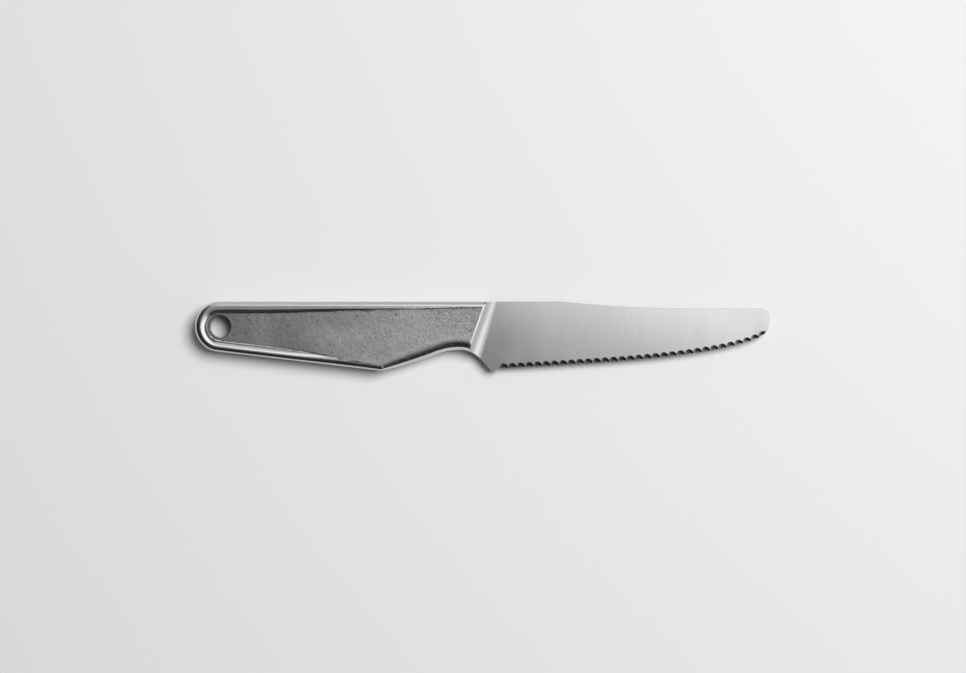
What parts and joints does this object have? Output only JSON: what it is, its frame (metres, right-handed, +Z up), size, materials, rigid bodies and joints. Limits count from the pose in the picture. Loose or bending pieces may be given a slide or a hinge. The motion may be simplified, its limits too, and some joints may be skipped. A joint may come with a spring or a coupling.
{
  "type": "tomato knife",
  "caption": "One-piece forged kitchen knife with a scalloped blade, a coved bolster, a polished rim round a raw web and a hanging hole.",
  "frame": {"origin": "centre of the footprint, on the surface that the knife lies on", "axes": "+X from the butt to the tip, +Y from the edge to the spine, +Z up through the thickness, towards the face that the teeth are ground from"},
  "size_m": [0.207, 0.025, 0.009],
  "materials": {
    "satin_blade": "satin ground stainless steel, lines square to the edge",
    "polished_bolster": "polished stainless steel with faint grinding lines along the cove",
    "polished_rim": "polished stainless steel",
    "raw_web": "raw forged skin, blasted matt, with pits and scale marks"
  },
  "bodies": {
    "root": {"blade": "satin_blade", "bolster": "polished_bolster", "handle_web": "raw_web", "spine_rail": "polished_rim", "butt_loop": "polished_rim", "belly_rail": "polished_rim", "finger_notch": "polished_rim"}
  },
  "joints": []
}
